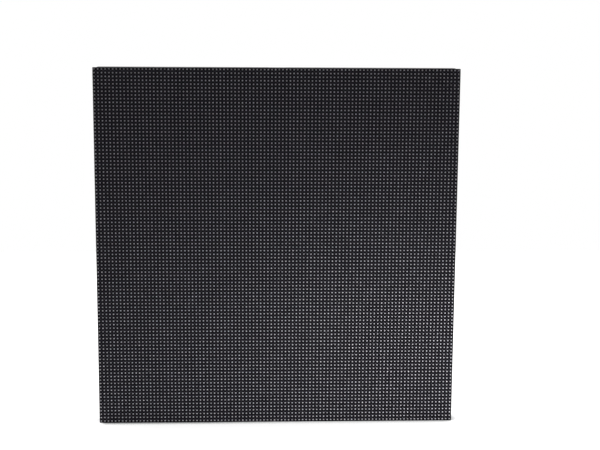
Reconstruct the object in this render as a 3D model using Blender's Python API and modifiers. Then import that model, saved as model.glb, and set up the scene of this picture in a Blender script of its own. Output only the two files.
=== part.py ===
"""RGB LED matrix panel: a square display module of 100 by 100 pixels, 250 mm a side.

A black moulded grid mask covers a board that carries the LEDs in front and their driver chips behind.
A ribbed plastic frame is screwed to the back of the board. It holds the threaded inserts, the magnets
and the locating pins that fix the module in a cabinet, and leaves the plugs of the board in reach.

The panel stands on its lower edge. +Z is up, its face looks along -Y, +X is to the right of someone who
looks at the face, and the origin is at the centre of its underside. Lengths are in metres.
"""

import math

import bmesh
import bpy
from mathutils import Matrix

MM = 0.001

# Display face
PIXELS = 100  # along each side
PITCH = 2.5 * MM
SIDE = PIXELS * PITCH
JOINT = 0.3 * MM  # the panel is this much smaller than its pixels' field, to fit beside the next one
OUTLINE = SIDE - JOINT
SEAT_GAP = 0.3 * MM  # left between pieces that rest on each other

# Mask: a thin moulded grid, one opening for each pixel
MASK_DEPTH = 1.9 * MM
MASK_OPENING = 1.8 * MM
FRONT_BAR_DEPTH = 0.6 * MM
MASK_PIN_RADIUS = 0.28 * MM
MASK_PIN_SHARES = (0.1, 0.5, 0.9)  # of the way along each side, moved to the nearest bar
MASK_PIN_CLEARANCE = 0.15 * MM
MASK_PIN_SHORTFALL = 0.2 * MM  # how far the pins stop short of the board's back

# Board with its LEDs, drivers and row switches
BOARD_THICKNESS = 1.6 * MM
BOARD_INSET = 0.3 * MM
LED_SIZE = 1.5 * MM
LED_HEIGHT = 1.4 * MM
GROUPS = 4  # bands of pixel rows that are driven together
DRIVERS_PER_GROUP = 19
DRIVER_LENGTH = 8.7 * MM
DRIVER_WIDTH = 3.9 * MM
DRIVER_HEIGHT = 1.75 * MM
ROW_CHIP_LENGTH = 9.9 * MM
ROW_CHIP_WIDTH = 3.9 * MM
BUFFER_LENGTH = 12.8 * MM
BUFFER_WIDTH = 7.5 * MM
BUFFER_HEIGHT = 2.3 * MM
BUFFER_FROM_RIB = 4.0 * MM

# Rear frame
FRAME_DEPTH = 9.5 * MM
FRAME_WALL = 2.0 * MM
FRAME_CORNER = 3.0 * MM
FRAME_CHAMFER = 1.0 * MM
RIB_THICKNESS = 2.0 * MM
RIB_NOTCH_WIDTH = 14.0 * MM
RIB_NOTCH_DEPTH = 3.0 * MM
PRY_NOTCH_WIDTH = 12.0 * MM
PRY_NOTCH_DEPTH = 1.2 * MM
PRY_NOTCH_RISE = 2.5 * MM
ROUND_SEGMENTS = 12
SMALL_SEGMENTS = 12

# Screws that hold the frame to nuts soldered on the board
SCREW_BOSS_RADIUS = 4.2 * MM
SCREW_RADIUS = 1.25 * MM
SCREW_HEAD_RADIUS = 2.3 * MM
SCREW_HEAD_HEIGHT = 1.8 * MM
SCREW_SOCKET_RADIUS = 1.1 * MM
SCREW_SOCKET_DEPTH = 1.0 * MM
SCREW_WEB = 2.0 * MM
SCREW_BITE = 2.2 * MM  # length of the shank inside the nut
NUT_RADIUS = 2.5 * MM
NUT_HEIGHT = 2.8 * MM

# Threaded brass inserts
INSERT_INSET = 5.8 * MM  # from the panel's outer edge
INSERT_BOSS_RADIUS = 4.5 * MM
INSERT_RADIUS = 2.4 * MM
INSERT_BORE_RADIUS = 1.5 * MM
INSERT_LENGTH = 5.7 * MM

# Magnets in their cups
MAGNET_RADIUS = 6.0 * MM
MAGNET_THICKNESS = 4.0 * MM
MAGNET_PROUD = 0.5 * MM
MAGNET_HOLE_RADIUS = 1.7 * MM
MAGNET_SINK_RADIUS = 3.3 * MM
MAGNET_SINK_DEPTH = 1.8 * MM
MAGNET_CUP_WALL = 1.7 * MM
MAGNET_SCREW_LENGTH = 7.0 * MM
MAGNET_DRIVER_PITCHES = 7  # from the middle of the panel

# Locating pins
LOCATOR_INSET = 5.5 * MM
LOCATOR_FROM_MIDDLE = 0.4 * SIDE
LOCATOR_RADIUS = 2.0 * MM
LOCATOR_BOSS_RADIUS = 4.0 * MM
LOCATOR_SUNK = 6.0 * MM
LOCATOR_REACH = 4.5 * MM
LOCATOR_CHAMFER = 0.8 * MM

# Ribbon-cable headers: a box of two rows of eight pins
DATA_PINS = 8
DATA_PIN_ROWS = 2
DATA_PIN_PITCH = 2.54 * MM
DATA_PIN_SIZE = 0.64 * MM
DATA_PIN_LENGTH = 5.9 * MM
HEADER_LENGTH = 28.0 * MM
HEADER_WIDTH = 8.8 * MM
HEADER_HEIGHT = 8.8 * MM
HEADER_WALL = 1.2 * MM
HEADER_FLOOR = 2.3 * MM
HEADER_KEY_WIDTH = 4.5 * MM
HEADER_INSET = 30.0 * MM

# Power header: a row of four thick pins on a base with a locking wall
POWER_PINS = 4
POWER_PIN_PITCH = 3.96 * MM
POWER_PIN_SIZE = 1.14 * MM
POWER_PIN_LENGTH = 7.4 * MM
POWER_BASE_MARGIN = 1.0 * MM
POWER_BASE_WIDTH = 8.4 * MM
POWER_BASE_HEIGHT = 3.2 * MM
POWER_WALL = 1.2 * MM
POWER_WALL_HEIGHT = 9.0 * MM
POWER_LATCH_WIDTH = 8.0 * MM
POWER_LATCH_DEPTH = 0.7 * MM

# Electrolytic capacitors
CAPACITOR_RADIUS = 3.15 * MM
CAPACITOR_HEIGHT = 5.4 * MM
CAPACITOR_FOOT = 6.6 * MM
CAPACITOR_FOOT_HEIGHT = 0.9 * MM
CAPACITOR_SPACING = 12.0 * MM
CAPACITOR_FROM_MIDDLE = 20.0 * MM

# Depths behind the display face
BOARD_FRONT = MASK_DEPTH + SEAT_GAP
BOARD_BACK = BOARD_FRONT + BOARD_THICKNESS
FRAME_FRONT = BOARD_BACK + SEAT_GAP
FRAME_BACK = FRAME_FRONT + FRAME_DEPTH
FULL_DEPTH = FRAME_BACK + LOCATOR_REACH
FACE_Y = -FULL_DEPTH / 2

# Places in the plane of the panel, from its middle
MIDDLE_Z = OUTLINE / 2
GROUP_HEIGHT = SIDE / GROUPS
DRIVER_PITCH = SIDE / (DRIVERS_PER_GROUP + 1)
LANE = GROUP_HEIGHT / 4  # half of the clear strip between a rib and a row of drivers
RIB_X = 3.5 * DRIVER_PITCH  # upright ribs pass midway between two drivers
RIB_Z = GROUP_HEIGHT  # level ribs pass between two groups
HEADER_X = SIDE / 2 - HEADER_INSET
SINK = 0.5 * MM  # how far joined shapes reach into each other


def new_collection(name):
    collection = bpy.data.collections.new(name)
    bpy.context.scene.collection.children.link(collection)
    return collection


def clear_scene():
    for old in list(bpy.data.objects):
        bpy.data.objects.remove(old, do_unlink=True)


def depth_y(depth):
    """The Y of a depth behind the display face."""
    return FACE_Y + depth


def linear(channel):
    return channel / 12.92 if channel <= 0.04045 else ((channel + 0.055) / 1.055) ** 2.4


def finish(name, colour, roughness, metallic=0.0):
    """A Principled material of an sRGB colour given as six hex digits."""
    made = bpy.data.materials.new(name)
    made.use_nodes = True
    shader = made.node_tree.nodes["Principled BSDF"]
    rgb = [linear(int(colour[i : i + 2], 16) / 255) for i in (0, 2, 4)]
    shader.inputs["Base Color"].default_value = (*rgb, 1)
    shader.inputs["Roughness"].default_value = roughness
    shader.inputs["Metallic"].default_value = metallic
    made.diffuse_color = (*rgb, 1)
    return made


def place_shape(name, shape, place, collection):
    """An object of a finished bmesh at (x, depth behind the face, height above the middle)."""
    mesh = bpy.data.meshes.new(name)
    shape.to_mesh(mesh)
    shape.free()
    obj = bpy.data.objects.new(name, mesh)
    obj.location = (place[0], depth_y(place[1]), MIDDLE_Z + place[2])
    collection.objects.link(obj)
    if collection is not parts:
        obj.hide_render = True
        obj.display_type = "WIRE"
    return obj


def block(name, low, high, collection):
    """A box between two corners, each (x, depth behind the face, height above the middle)."""
    shape = bmesh.new()
    bmesh.ops.create_cube(shape, size=1)
    bmesh.ops.scale(shape, vec=[b - a for a, b in zip(low, high)], verts=shape.verts)
    return place_shape(name, shape, [(a + b) / 2 for a, b in zip(low, high)], collection)


def centred_block(name, x, z, length, height, near, far, collection):
    """A box round (x, z) that runs from one depth to another."""
    low = (x - length / 2, near, z - height / 2)
    high = (x + length / 2, far, z + height / 2)
    return block(name, low, high, collection)


def rod(name, x, z, radius, near, far, collection, segments=ROUND_SEGMENTS):
    """A round rod along Y that runs from one depth to another."""
    shape = bmesh.new()
    turn = Matrix.Rotation(math.radians(90), 4, "X")
    bmesh.ops.create_cone(
        shape,
        cap_ends=True,
        segments=segments,
        radius1=radius,
        radius2=radius,
        depth=far - near,
        matrix=turn,
    )
    return place_shape(name, shape, (x, (near + far) / 2, z), collection)


def repeat(obj, count, step):
    """Copies in a row, step apart."""
    row = obj.modifiers.new("Row", "ARRAY")
    row.count = count
    row.use_relative_offset = False
    row.use_constant_offset = True
    row.constant_offset_displace = step
    return obj


def combine(obj, operation, tools):
    """A Boolean of obj with every shape of a collection."""
    boolean = obj.modifiers.new(tools.name, "BOOLEAN")
    boolean.operation = operation
    boolean.operand_type = "COLLECTION"
    boolean.collection = tools
    return obj


def turned(name, profile, place, ring=False, segments=ROUND_SEGMENTS):
    """A turned piece. The profile is (radius, height) from its rear end down, and height runs to the rear.

    place is (x, depth of height 0, height above the middle). A ring's profile closes on itself.
    """
    count = len(profile)
    ends = range(count if ring else count - 1)
    outline = bpy.data.meshes.new(name)
    outline.from_pydata([(r, 0, h) for r, h in profile], [(i, (i + 1) % count) for i in ends], [])
    guide = bpy.data.objects.new(name, outline)
    parts.objects.link(guide)
    turn = guide.modifiers.new("Turn", "SCREW")
    turn.steps = turn.render_steps = segments
    turn.use_merge_vertices = True
    turn.merge_threshold = 0.000001
    bpy.context.view_layer.update()
    evaluated = guide.evaluated_get(bpy.context.evaluated_depsgraph_get())
    made = bpy.data.meshes.new_from_object(evaluated)
    guide.modifiers.clear()
    guide.data = made
    made.shade_smooth()
    made.set_sharp_from_angle(angle=math.radians(35))
    guide.rotation_euler = (math.radians(-90), 0, 0)
    guide.location = (place[0], depth_y(place[1]), MIDDLE_Z + place[2])
    return guide


def copies(obj, places):
    """The piece at the first place and a copy of it at each other one, numbered from 1."""
    base = obj.name
    obj.name = f"{base}_1"
    made = [obj]
    for number, (x, z) in enumerate(places[1:], 2):
        copy = obj.copy()
        copy.name = f"{base}_{number}"
        copy.location = (x, obj.location.y, MIDDLE_Z + z)
        parts.objects.link(copy)
        made.append(copy)
    return made


def paint(objects, material):
    for obj in objects:
        if not obj.data.materials:
            obj.data.materials.append(material)


def pin_places():
    """Where the mask's pins pass the board: on crossings of the grid's bars."""
    bars = [round(share * PIXELS) * PITCH - SIDE / 2 for share in MASK_PIN_SHARES]
    return [(x, z) for x in bars for z in bars]


def screw_places():
    return [(x, z) for x in (-RIB_X, RIB_X) for z in (-RIB_Z, 0, RIB_Z)]


def insert_places():
    reach = OUTLINE / 2 - INSERT_INSET
    return [(x, z) for x in (-reach, reach) for z in (-reach, 0, reach)]


def magnet_places():
    reach = MAGNET_DRIVER_PITCHES * DRIVER_PITCH
    return [(x, z) for x in (-reach, reach) for z in (-RIB_Z, RIB_Z)]


def locator_places():
    reach = OUTLINE / 2 - LOCATOR_INSET
    return [(-LOCATOR_FROM_MIDDLE, reach), (LOCATOR_FROM_MIDDLE, -reach)]


def header_places():
    return [(-HEADER_X, 3 * LANE), (HEADER_X, 3 * LANE)]


def row_chip_places():
    outer = [(x * DRIVER_PITCH, z * 5 * LANE) for x in (-6, -2, 2, 6) for z in (-1, 1)]
    middle = [(x * DRIVER_PITCH, z * 3 * LANE) for x in (-2, 2) for z in (-1, 1)]
    inner = [(x * DRIVER_PITCH, z * LANE) for x in (-6, 6) for z in (-1, 1)]
    return outer + middle + inner


def front_mask():
    """The moulded grid, with one square opening for each pixel.

    The openings are too many to cut one by one, so its bars lie in two layers: upright ones in front and
    level ones behind, a seat gap apart and joined by the rim. An opening is where two slots cross.
    """
    half = OUTLINE / 2
    mask = block("front_mask", (-half, 0, -half), (half, MASK_DEPTH, half), parts)
    slots = new_collection("mask_slots")
    run = SIDE / 2 - (PITCH - MASK_OPENING) / 2
    layer_end = FRONT_BAR_DEPTH + SEAT_GAP / 3
    layer_start = FRONT_BAR_DEPTH + SEAT_GAP * 2 / 3
    first = -SIDE / 2 + PITCH / 2
    upright = block(
        "upright_slot",
        (first - MASK_OPENING / 2, -SINK, -run),
        (first + MASK_OPENING / 2, layer_end, run),
        slots,
    )
    repeat(upright, PIXELS, (PITCH, 0, 0))
    level = block(
        "level_slot",
        (-run, layer_start, first - MASK_OPENING / 2),
        (run, MASK_DEPTH + SINK, first + MASK_OPENING / 2),
        slots,
    )
    repeat(level, PIXELS, (0, 0, PITCH))
    reach = (run + half) / 2
    level_start = FRONT_BAR_DEPTH + SEAT_GAP
    block("layer_gap", (-reach, FRONT_BAR_DEPTH, -reach), (reach, level_start, reach), slots)
    combine(mask, "DIFFERENCE", slots)
    pins = new_collection("mask_pins")
    tip = BOARD_BACK - MASK_PIN_SHORTFALL
    for x, z in pin_places():
        rod("mask_pin", x, z, MASK_PIN_RADIUS, MASK_DEPTH - SINK, tip, pins, 8)
    combine(mask, "UNION", pins)
    paint([mask], finish("black polycarbonate", "1E1E22", 0.62))


def led_board():
    """The circuit board. Each row of LEDs is one bar, because 10,000 packages are too many here."""
    half = OUTLINE / 2 - BOARD_INSET
    board = block("led_board", (-half, BOARD_FRONT, -half), (half, BOARD_BACK, half), parts)
    mounted = new_collection("board_mounted")
    first = -SIDE / 2 + PITCH / 2
    row_end = -first + LED_SIZE / 2
    leds = block(
        "led_row",
        (-row_end, BOARD_FRONT - LED_HEIGHT, first - LED_SIZE / 2),
        (row_end, BOARD_FRONT + SINK, first + LED_SIZE / 2),
        mounted,
    )
    repeat(leds, PIXELS, (0, 0, PITCH))
    chip_back = BOARD_BACK + DRIVER_HEIGHT
    driver = centred_block(
        "driver_chip",
        -DRIVER_PITCH * (DRIVERS_PER_GROUP - 1) / 2,
        -GROUP_HEIGHT * (GROUPS - 1) / 2,
        DRIVER_WIDTH,
        DRIVER_LENGTH,
        BOARD_BACK - SINK,
        chip_back,
        mounted,
    )
    repeat(driver, DRIVERS_PER_GROUP, (DRIVER_PITCH, 0, 0))
    repeat(driver, GROUPS, (0, 0, GROUP_HEIGHT))
    row_chip = (ROW_CHIP_LENGTH, ROW_CHIP_WIDTH, BOARD_BACK - SINK, chip_back)
    for x, z in row_chip_places():
        centred_block("row_chip", x, z, *row_chip, mounted)
    combine(board, "UNION", mounted)
    holes = new_collection("board_holes")
    radius = MASK_PIN_RADIUS + MASK_PIN_CLEARANCE
    for x, z in pin_places():
        rod("pin_hole", x, z, radius, BOARD_FRONT - SINK, BOARD_BACK + SINK, holes, 8)
    combine(board, "DIFFERENCE", holes)
    paint([board], finish("black solder mask", "17191B", 0.45))


def frame_shell():
    """The frame's outer wall, rounded at its corners and chamfered along its rear outer edges."""
    half = OUTLINE / 2
    frame = block("rear_frame", (-half, FRAME_FRONT, -half), (half, FRAME_BACK, half), parts)
    shape = bmesh.new()
    shape.from_mesh(frame.data)
    corners = [e for e in shape.edges if abs(e.verts[0].co.y - e.verts[1].co.y) > FRAME_DEPTH / 2]
    bmesh.ops.bevel(shape, geom=corners, offset=FRAME_CORNER, segments=4, profile=0.5, affect="EDGES")
    rear = max(v.co.y for v in shape.verts)
    edges = [e for e in shape.edges if all(abs(v.co.y - rear) < FRAME_CHAMFER / 2 for v in e.verts)]
    bmesh.ops.bevel(shape, geom=edges, offset=FRAME_CHAMFER, segments=1, affect="EDGES")
    shape.to_mesh(frame.data)
    shape.free()
    hollow = new_collection("frame_hollow")
    inner = half - FRAME_WALL
    near, far = FRAME_FRONT - SINK, FRAME_BACK + SINK
    block("frame_window", (-inner, near, -inner), (inner, far, inner), hollow)
    return combine(frame, "DIFFERENCE", hollow)


def frame_ribs(solid):
    """Two upright ribs and three level ones, joined to the wall."""
    reach = OUTLINE / 2 - FRAME_WALL + SINK
    for x in (-RIB_X, RIB_X):
        centred_block("upright_rib", x, 0, RIB_THICKNESS, 2 * reach, FRAME_FRONT, FRAME_BACK, solid)
    for z in (-RIB_Z, 0, RIB_Z):
        centred_block("level_rib", 0, z, 2 * reach, RIB_THICKNESS, FRAME_FRONT, FRAME_BACK, solid)


def frame_bosses(solid):
    """Round bosses for the screws, inserts, magnets and locating pins."""
    for x, z in screw_places():
        rod("screw_boss", x, z, SCREW_BOSS_RADIUS, FRAME_FRONT, FRAME_BACK, solid)
    for x, z in insert_places():
        rod("insert_boss", x, z, INSERT_BOSS_RADIUS, FRAME_FRONT, FRAME_BACK, solid)
    cup_radius = MAGNET_RADIUS + SEAT_GAP + MAGNET_CUP_WALL
    for x, z in magnet_places():
        rod("magnet_cup", x, z, cup_radius, FRAME_FRONT, FRAME_BACK, solid)
    for x, z in locator_places():
        rod("locator_boss", x, z, LOCATOR_BOSS_RADIUS, FRAME_FRONT, FRAME_BACK, solid)


def frame_bores(cut):
    """The bores of the bosses. A screw's web lies between a seat for its nut and a well for its head."""
    past = FRAME_BACK + SINK
    web_front = BOARD_BACK + SEAT_GAP + NUT_HEIGHT + SEAT_GAP
    for x, z in screw_places():
        rod("nut_seat", x, z, NUT_RADIUS + SEAT_GAP, FRAME_FRONT - SINK, web_front, cut)
        rod("head_well", x, z, SCREW_HEAD_RADIUS + SEAT_GAP, web_front + SCREW_WEB, past, cut)
        shank = SCREW_RADIUS + SEAT_GAP
        near, far = web_front - SINK, web_front + SCREW_WEB + SINK
        rod("shank_hole", x, z, shank, near, far, cut, SMALL_SEGMENTS)
    for x, z in insert_places():
        bottom = FRAME_BACK - INSERT_LENGTH - SEAT_GAP
        rod("insert_hole", x, z, INSERT_RADIUS + SEAT_GAP, bottom, past, cut)
    floor = FRAME_BACK + MAGNET_PROUD - MAGNET_THICKNESS - SEAT_GAP
    tip = floor + SEAT_GAP + MAGNET_THICKNESS - MAGNET_SCREW_LENGTH - SEAT_GAP
    for x, z in magnet_places():
        rod("magnet_pocket", x, z, MAGNET_RADIUS + SEAT_GAP, floor, past, cut)
        rod("pilot_hole", x, z, SCREW_RADIUS + SEAT_GAP, tip, floor + SINK, cut, SMALL_SEGMENTS)
    for x, z in locator_places():
        bottom = FRAME_BACK - LOCATOR_SUNK - SEAT_GAP
        rod("locator_hole", x, z, LOCATOR_RADIUS + SEAT_GAP, bottom, past, cut)


def frame_notches(cut):
    """Notches over the board's tracks in the ribs' feet, and a pry notch in each outer side."""
    foot = (FRAME_FRONT - SINK, FRAME_FRONT + RIB_NOTCH_DEPTH)
    across = 2 * RIB_THICKNESS
    bays = [-(RIB_X + SIDE / 2) / 2 + DRIVER_PITCH, 0, (RIB_X + SIDE / 2) / 2 - DRIVER_PITCH]
    for z in (-RIB_Z, 0, RIB_Z):
        for x in bays:
            centred_block("rib_notch", x, z, RIB_NOTCH_WIDTH, across, *foot, cut)
    for x in (-RIB_X, RIB_X):
        for row in range(GROUPS):
            z = GROUP_HEIGHT * (row - (GROUPS - 1) / 2)
            centred_block("rib_notch", x, z, across, RIB_NOTCH_WIDTH, *foot, cut)
    edge = OUTLINE / 2
    across = 2 * PRY_NOTCH_DEPTH
    rear = (FRAME_BACK - PRY_NOTCH_RISE, FRAME_BACK + SINK)
    for side in (-edge, edge):
        centred_block("pry_notch", side, GROUP_HEIGHT / 2, across, PRY_NOTCH_WIDTH, *rear, cut)
        centred_block("pry_notch", 0, side, PRY_NOTCH_WIDTH, across, *rear, cut)


def rear_frame():
    frame = frame_shell()
    solid = new_collection("frame_solid")
    frame_ribs(solid)
    frame_bosses(solid)
    combine(frame, "UNION", solid)
    cut = new_collection("frame_cut")
    frame_bores(cut)
    frame_notches(cut)
    combine(frame, "DIFFERENCE", cut)
    paint([frame], finish("glass-filled nylon", "232427", 0.7))


def board_nuts():
    """Round nuts soldered on the board's back."""
    bore = SCREW_RADIUS + SEAT_GAP
    profile = [(bore, NUT_HEIGHT), (NUT_RADIUS, NUT_HEIGHT), (NUT_RADIUS, 0), (bore, 0)]
    x, z = screw_places()[0]
    foot = BOARD_BACK + SEAT_GAP
    nut = turned("board_nut", profile, (x, foot, z), ring=True, segments=SMALL_SEGMENTS)
    paint(copies(nut, screw_places()), finish("tinned brass", "C9C4B4", 0.35, 1.0))


def frame_screws():
    """Pan-head screws in the wells of the frame."""
    seat = BOARD_BACK + SEAT_GAP + NUT_HEIGHT + SEAT_GAP + SCREW_WEB + SEAT_GAP
    nut_rear = BOARD_BACK + SEAT_GAP + NUT_HEIGHT
    tip = nut_rear - SCREW_BITE - seat
    crown = SCREW_HEAD_HEIGHT
    profile = [
        (0, crown - SCREW_SOCKET_DEPTH),
        (SCREW_SOCKET_RADIUS, crown),
        (SCREW_HEAD_RADIUS, crown * 0.6),
        (SCREW_HEAD_RADIUS, 0),
        (SCREW_RADIUS, 0),
        (SCREW_RADIUS, tip),
        (0, tip),
    ]
    x, z = screw_places()[0]
    screw = turned("frame_screw", profile, (x, seat, z), segments=SMALL_SEGMENTS)
    paint(copies(screw, screw_places()), finish("zinc-plated steel", "B8BABD", 0.3, 1.0))


def threaded_inserts():
    """Brass inserts, flush with the frame's rear face."""
    profile = [
        (INSERT_BORE_RADIUS, 0),
        (INSERT_RADIUS, 0),
        (INSERT_RADIUS, -INSERT_LENGTH),
        (INSERT_BORE_RADIUS, -INSERT_LENGTH),
    ]
    x, z = insert_places()[0]
    place = (x, FRAME_BACK, z)
    insert = turned("threaded_insert", profile, place, ring=True, segments=SMALL_SEGMENTS)
    paint(copies(insert, insert_places()), finish("brass", "B99A4B", 0.3, 1.0))


def magnets():
    """Countersunk disc magnets, a little proud of the frame, and the screws that hold them."""
    rear = FRAME_BACK + MAGNET_PROUD
    magnet_profile = [
        (MAGNET_SINK_RADIUS, 0),
        (MAGNET_RADIUS, 0),
        (MAGNET_RADIUS, -MAGNET_THICKNESS),
        (MAGNET_HOLE_RADIUS, -MAGNET_THICKNESS),
        (MAGNET_HOLE_RADIUS, -MAGNET_SINK_DEPTH),
    ]
    x, z = magnet_places()[0]
    magnet = turned("mount_magnet", magnet_profile, (x, rear, z), ring=True)
    paint(copies(magnet, magnet_places()), finish("nickel-plated magnet", "B4B5B8", 0.22, 1.0))
    head = MAGNET_SINK_RADIUS - SEAT_GAP
    neck = MAGNET_SINK_DEPTH * (head - SCREW_RADIUS) / (MAGNET_SINK_RADIUS - MAGNET_HOLE_RADIUS)
    sunk = 0.2 * MM
    screw_profile = [
        (0, -sunk - SCREW_SOCKET_DEPTH),
        (SCREW_SOCKET_RADIUS, -sunk),
        (head - sunk, -sunk),
        (SCREW_RADIUS, -sunk - neck),
        (SCREW_RADIUS, -MAGNET_SCREW_LENGTH),
        (0, -MAGNET_SCREW_LENGTH - sunk),
    ]
    screw = turned("magnet_screw", screw_profile, (x, rear, z), segments=SMALL_SEGMENTS)
    paint(copies(screw, magnet_places()), finish("blackened steel", "3A3B3E", 0.4, 1.0))


def locating_pins():
    """Steel dowels with a chamfered tip."""
    profile = [
        (0, LOCATOR_REACH),
        (LOCATOR_RADIUS - LOCATOR_CHAMFER, LOCATOR_REACH),
        (LOCATOR_RADIUS, LOCATOR_REACH - LOCATOR_CHAMFER),
        (LOCATOR_RADIUS, -LOCATOR_SUNK),
        (0, -LOCATOR_SUNK),
    ]
    x, z = locator_places()[0]
    pin = turned("locating_pin", profile, (x, FRAME_BACK, z))
    paint(copies(pin, locator_places()), finish("ground steel", "C6C8CB", 0.25, 1.0))


def data_headers():
    """Keyed box headers, one for the signal that comes in and one for the signal that goes on."""
    plastic = finish("black glass-filled polyester", "1B1B1D", 0.5)
    foot = BOARD_BACK + SEAT_GAP
    floor = foot + HEADER_FLOOR
    rim = foot + HEADER_HEIGHT
    outside = (HEADER_LENGTH, HEADER_WIDTH)
    inside = (HEADER_LENGTH - 2 * HEADER_WALL, HEADER_WIDTH - 2 * HEADER_WALL)
    key = (HEADER_KEY_WIDTH, 3 * HEADER_WALL)
    for number, (x, z) in enumerate(header_places(), 1):
        shell = centred_block(f"data_header_{number}", x, z, *outside, foot, rim, parts)
        hollow = new_collection(f"header_hollow_{number}")
        centred_block("header_cavity", x, z, *inside, floor, rim + SINK, hollow)
        centred_block("header_key", x, z - HEADER_WIDTH / 2, *key, floor, rim + SINK, hollow)
        combine(shell, "DIFFERENCE", hollow)
        pins = new_collection(f"header_pins_{number}")
        pin_x = x - DATA_PIN_PITCH * (DATA_PINS - 1) / 2
        pin_z = z - DATA_PIN_PITCH * (DATA_PIN_ROWS - 1) / 2
        near, far = floor - SINK, floor + DATA_PIN_LENGTH
        pin = centred_block("data_pin", pin_x, pin_z, DATA_PIN_SIZE, DATA_PIN_SIZE, near, far, pins)
        repeat(pin, DATA_PINS, (DATA_PIN_PITCH, 0, 0))
        repeat(pin, DATA_PIN_ROWS, (0, 0, DATA_PIN_PITCH))
        combine(shell, "UNION", pins)
        paint([shell], plastic)


def power_header():
    """The base with its locking wall and latch, and four pins that pass it."""
    z = -LANE
    foot = BOARD_BACK + SEAT_GAP
    length = POWER_PINS * POWER_PIN_PITCH + 2 * POWER_BASE_MARGIN
    shoulder = foot + POWER_BASE_HEIGHT
    base = centred_block("power_header", 0, z, length, POWER_BASE_WIDTH, foot, shoulder, parts)
    wall = new_collection("power_wall")
    wall_z = z + (POWER_BASE_WIDTH - POWER_WALL) / 2
    wall_top = foot + POWER_WALL_HEIGHT
    centred_block("locking_wall", 0, wall_z, length, POWER_WALL, foot + SINK, wall_top, wall)
    latch_z = wall_z - POWER_WALL / 2
    latch = (POWER_LATCH_WIDTH, 2 * POWER_LATCH_DEPTH, wall_top - POWER_WALL, wall_top - POWER_WALL / 3)
    centred_block("latch", 0, latch_z, *latch, wall)
    combine(base, "UNION", wall)
    wells = new_collection("power_wells")
    pin_x = [(i - (POWER_PINS - 1) / 2) * POWER_PIN_PITCH for i in range(POWER_PINS)]
    well = POWER_PIN_SIZE + 2 * SEAT_GAP
    for x in pin_x:
        centred_block("pin_well", x, z, well, well, foot - SINK, shoulder + SINK, wells)
    combine(base, "DIFFERENCE", wells)
    paint([base], finish("white nylon", "E9E6DC", 0.5))
    tin = finish("tinned pin", "C8C8C6", 0.3, 1.0)
    tip = shoulder + POWER_PIN_LENGTH - POWER_WALL
    thick = (POWER_PIN_SIZE, POWER_PIN_SIZE)
    for number, x in enumerate(pin_x, 1):
        pin = centred_block(f"power_pin_{number}", x, z, *thick, foot, tip, parts)
        paint([pin], tin)


def capacitors():
    """Aluminium cans on square feet: four beside the power header and two across the middle rib."""
    beside = [x * (CAPACITOR_FROM_MIDDLE + i * CAPACITOR_SPACING) for x in (-1, 1) for i in range(2)]
    places = [(x, -LANE) for x in beside] + [(x * CAPACITOR_FROM_MIDDLE, LANE) for x in (-1, 1)]
    foot = BOARD_BACK + SEAT_GAP
    shoulder = foot + CAPACITOR_FOOT_HEIGHT
    can_back = foot + CAPACITOR_HEIGHT
    aluminium = finish("aluminium can", "BFC1C3", 0.32, 1.0)
    for number, (x, z) in enumerate(places, 1):
        name = f"capacitor_{number}"
        base = centred_block(name, x, z, CAPACITOR_FOOT, CAPACITOR_FOOT, foot, shoulder, parts)
        can = new_collection(f"can_{number}")
        rod("can", x, z, CAPACITOR_RADIUS, shoulder - SINK, can_back, can, 16)
        combine(base, "UNION", can)
        paint([base], aluminium)


def buffer_chips():
    """Wide chips that clean up the signal, one between each header and the upright rib next to it."""
    epoxy = finish("moulded epoxy", "202123", 0.55)
    foot = BOARD_BACK + SEAT_GAP
    rear = foot + BUFFER_HEIGHT
    reach = RIB_X + RIB_THICKNESS / 2 + BUFFER_FROM_RIB + BUFFER_LENGTH / 2
    for number, x in enumerate((-reach, reach), 1):
        name = f"buffer_chip_{number}"
        chip = centred_block(name, x, 3 * LANE, BUFFER_LENGTH, BUFFER_WIDTH, foot, rear, parts)
        paint([chip], epoxy)


clear_scene()
parts = new_collection("led_matrix_panel")
board_nuts()
frame_screws()
threaded_inserts()
magnets()
locating_pins()
front_mask()
led_board()
rear_frame()
data_headers()
power_header()
capacitors()
buffer_chips()
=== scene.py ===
"""The LED matrix panel standing on a white floor, seen from a little above its middle.

Lengths are in metres. The panel's face looks along -Y, +X is to the right and +Z is up. Outlines
and depths are read from the frame, and the other sizes repeat those of the CAD part.
"""

import math
from collections import namedtuple

import bmesh
import bpy
from mathutils import Matrix, Vector


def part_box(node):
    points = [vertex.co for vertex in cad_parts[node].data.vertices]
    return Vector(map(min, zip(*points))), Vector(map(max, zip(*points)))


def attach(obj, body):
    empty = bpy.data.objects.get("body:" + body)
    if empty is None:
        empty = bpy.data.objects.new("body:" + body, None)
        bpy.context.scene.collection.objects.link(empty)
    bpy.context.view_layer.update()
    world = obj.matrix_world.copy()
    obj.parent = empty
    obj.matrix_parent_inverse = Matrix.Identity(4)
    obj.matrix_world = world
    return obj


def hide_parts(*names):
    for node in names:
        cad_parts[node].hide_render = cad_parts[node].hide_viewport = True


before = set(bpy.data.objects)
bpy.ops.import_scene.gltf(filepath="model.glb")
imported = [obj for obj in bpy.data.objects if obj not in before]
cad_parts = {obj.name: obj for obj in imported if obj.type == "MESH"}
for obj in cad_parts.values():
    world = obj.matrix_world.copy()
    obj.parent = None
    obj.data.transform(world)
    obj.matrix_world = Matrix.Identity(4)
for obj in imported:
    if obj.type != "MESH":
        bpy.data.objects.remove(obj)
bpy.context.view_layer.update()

MM = 0.001
SEAT_GAP = 0.3 * MM  # left between pieces that rest on each other
OVER = 1.0 * MM  # how far a cutting shape reaches past what it cuts
NEAR = 0.01 * MM  # places closer together than this are one
FACING = 0.9  # a face looks along an axis when its normal's share of that axis is larger
SMOOTH_UP_TO = math.radians(35)  # edges whose faces meet at more than this stay sharp
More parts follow.
